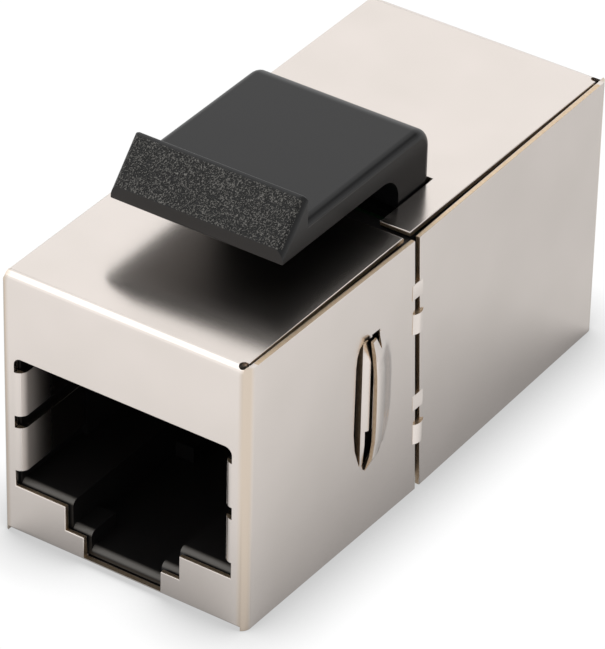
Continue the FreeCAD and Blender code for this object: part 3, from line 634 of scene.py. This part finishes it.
def floor_finish():
    """White acrylic: it bounces light as a matt white, and where it is seen, straight or in the
    metal, it is an emitted white with a painted shadow, which an occlusion test darkens into the
    corner under the object."""
    material, tree, shader = new_material("white_acrylic_floor")
    shader.inputs["Base Color"].default_value = linear("#E7E7E7")
    shader.inputs["Roughness"].default_value = 0.6
    rays = add(tree, "ShaderNodeLightPath").outputs

    def lit(reach, near, far, open_from):
        """Emitted brightness from near, in the corner under the object, to far, in the open: a
        painted shadow from an occlusion test.
        """
        open_share = add(tree, "ShaderNodeAmbientOcclusion",
                         {"Distance": reach, "samples": 16}).outputs["AO"]
        return add(tree, "ShaderNodeMapRange", {"From Min": 0.5, "From Max": open_from,
                                                "To Min": near, "To Max": far},
                   Value=open_share).outputs[0]

    # Painted light and shade in the metal: the floor on the right is brighter beside the object's
    # front than beside its back, and even again where it is far out.
    place = add(tree, "ShaderNodeSeparateXYZ",
                _0=add(tree, "ShaderNodeTexCoord").outputs["Object"]).outputs
    side_full = 13 * MM
    right, left = [add(tree, "ShaderNodeMapRange", {"From Max": side * side_full, "To Max": 1.0},
                       Value=place[0]).outputs[0] for side in (1, -1)]
    by_front, by_back, front_gain, back_gain = -10 * MM, 24 * MM, 0.13, -0.26
    gain = add(tree, "ShaderNodeMapRange", {"From Min": by_front, "From Max": by_back,
                                            "To Min": front_gain, "To Max": back_gain},
               Value=place[1]).outputs[0]
    fading, far_out = 30 * MM, 60 * MM
    beside = add(tree, "ShaderNodeMapRange", {"From Min": fading, "From Max": far_out,
                                              "To Min": 1.0, "To Max": 0.0},
                 Value=place[0]).outputs[0]
    for share in (right, beside):
        gain = add(tree, "ShaderNodeMath", {"operation": "MULTIPLY"}, _0=gain,
                   _1=share).outputs[0]
    # Painted shade on the left: it is darker, but not what lies well in front.
    well_in_front, at_front, left_gain = -30 * MM, -18 * MM, -0.2
    loss = add(tree, "ShaderNodeMapRange", {"From Min": well_in_front, "From Max": at_front,
                                            "To Max": left_gain}, Value=place[1]).outputs[0]
    level = add(tree, "ShaderNodeMath", {"operation": "MULTIPLY_ADD", 2: 1.0}, _0=left,
                _1=loss).outputs[0]
    painted_light_and_shade = add(tree, "ShaderNodeMath", {"operation": "ADD"}, _0=level, _1=gain).outputs[0]
    # Painted shade: what the metal mirrors darkens over a wide reach round the object.
    painted_shade_in_metal = add(tree, "ShaderNodeMath", {"operation": "MULTIPLY"}, _0=painted_light_and_shade,
                   _1=lit(40 * MM, 0.34, 1.02, 0.95)).outputs[0]
    # Seen straight, the floor has a tight painted shadow; in the metal, the wide one with the
    # painted light and shade.
    seen = add(tree, "ShaderNodeMix", {"data_type": "FLOAT"}, _0=rays["Is Camera Ray"],
               _2=painted_shade_in_metal, _3=lit(3.9 * MM, 0.58, 1.02, 1.0)).outputs[0]
    shown = add(tree, "ShaderNodeEmission", {"Color": linear("#FFFFFF")},
                Strength=seen).outputs[0]
    visible = rays["Is Camera Ray"]
    for ray in ("Is Glossy Ray", "Is Transmission Ray"):
        visible = add(tree, "ShaderNodeMath", {"operation": "MAXIMUM"}, _0=visible,
                      _1=rays[ray]).outputs[0]
    mixed = add(tree, "ShaderNodeMixShader", _0=visible, _1=shader.outputs[0],
                _2=shown).outputs[0]
    output = [node for node in tree.nodes if node.type == "OUTPUT_MATERIAL"][0]
    tree.links.new(mixed, output.inputs[0])
    return material


def studio_sky():
    """A pale room, with a wide window high behind the object's left shoulder, a bright card
    low in front of it on the left, and a dark patch high behind its right shoulder."""
    world = bpy.data.worlds.new("studio")
    world.use_nodes = True
    tree = world.node_tree
    background = tree.nodes["Background"]
    looks = add(tree, "ShaderNodeTexCoord").outputs["Generated"]

    def lobe(towards, start, full, strength):
        """A patch of sky round a direction, from its rim to its full strength."""
        share = add(tree, "ShaderNodeVectorMath",
                    {"operation": "DOT_PRODUCT", 1: Vector(towards).normalized()},
                    _0=looks).outputs["Value"]
        return add(tree, "ShaderNodeMapRange", {"interpolation_type": "SMOOTHSTEP",
                                                "From Min": start, "From Max": full,
                                                "To Max": strength}, Value=share).outputs[0]

    walls = 0.76
    window = lobe((-0.50, 0.72, 0.50), 0.3, 0.9, 0.32)
    front_card = lobe((-0.45, -0.85, 0.28), 0.66, 0.98, 0.4)
    dark_patch = lobe((0.46, 0.69, 0.57), 0.96, 0.997, 0.75)
    lit = add(tree, "ShaderNodeMath", {"operation": "ADD"}, _0=window, _1=front_card).outputs[0]
    level = add(tree, "ShaderNodeMath", {"operation": "ADD", 1: walls}, _0=lit).outputs[0]
    room = add(tree, "ShaderNodeMath", {"operation": "SUBTRACT"}, _0=level,
               _1=dark_patch).outputs[0]
    tree.links.new(room, background.inputs["Strength"])
    background.inputs["Color"].default_value = linear("#FFFFFF")
    return world


def studio():
    """The floor, the room, and one softbox above the object's front left."""
    scene = bpy.context.scene
    scene.view_settings.view_transform = "Standard"
    scene.world = studio_sky()

    floor_mesh = bpy.data.meshes.new("floor")
    reach = 1.0
    floor_mesh.from_pydata([(-reach, -reach, 0), (reach, -reach, 0), (reach, reach, 0),
                            (-reach, reach, 0)], [], [(0, 1, 2, 3)])
    floor = bpy.data.objects.new("floor", floor_mesh)
    floor.location.z = -HAIR
    bpy.context.collection.objects.link(floor)
    floor_mesh.materials.append(floor_finish())

    light = bpy.data.lights.new("overhead_softbox", "AREA")
    light.shape = "RECTANGLE"
    light.size = light.size_y = 0.34
    light.energy = 0.24
    lamp = bpy.data.objects.new("overhead_softbox", light)
    lamp.location = (-0.15, -0.07, 0.33)
    lamp.rotation_euler = (-lamp.location).to_track_quat("-Z", "Y").to_euler()
    bpy.context.collection.objects.link(lamp)


def camera():
    """Camera found by fitting the object's edges: nearly level sides, long lens."""
    azimuth, elevation, roll = (math.radians(a) for a in (33.526, 34.544, 1.358))
    distance = 250.22 * MM
    shift_left, shift_down = 0.941 * MM, 1.962 * MM
    focal_over_height = 4997.4 / 649      # the lens's length over the frame's height
    right = Vector((math.cos(azimuth), math.sin(azimuth), 0))
    back = Vector((math.sin(azimuth) * math.cos(elevation),
                   -math.cos(azimuth) * math.cos(elevation), math.sin(elevation)))
    up = back.cross(right)
    right, up = (right * math.cos(roll) + up * math.sin(roll),
                 up * math.cos(roll) - right * math.sin(roll))
    aim = Vector((0, SHIELD_LOW[1] + 17 * MM, 8 * MM))
    place = aim + back * distance - right * shift_left - up * shift_down
    data = bpy.data.cameras.new("camera")
    data.sensor_fit = "VERTICAL"
    data.sensor_height = 36.0
    data.lens = focal_over_height * data.sensor_height
    data.clip_start = 0.01
    obj = bpy.data.objects.new("camera", data)
    turn = Matrix((right, up, back)).transposed().to_4x4()
    obj.matrix_world = Matrix.Translation(place) @ turn
    bpy.context.collection.objects.link(obj)
    bpy.context.scene.camera = obj


dress_nodes()
studio()
camera()
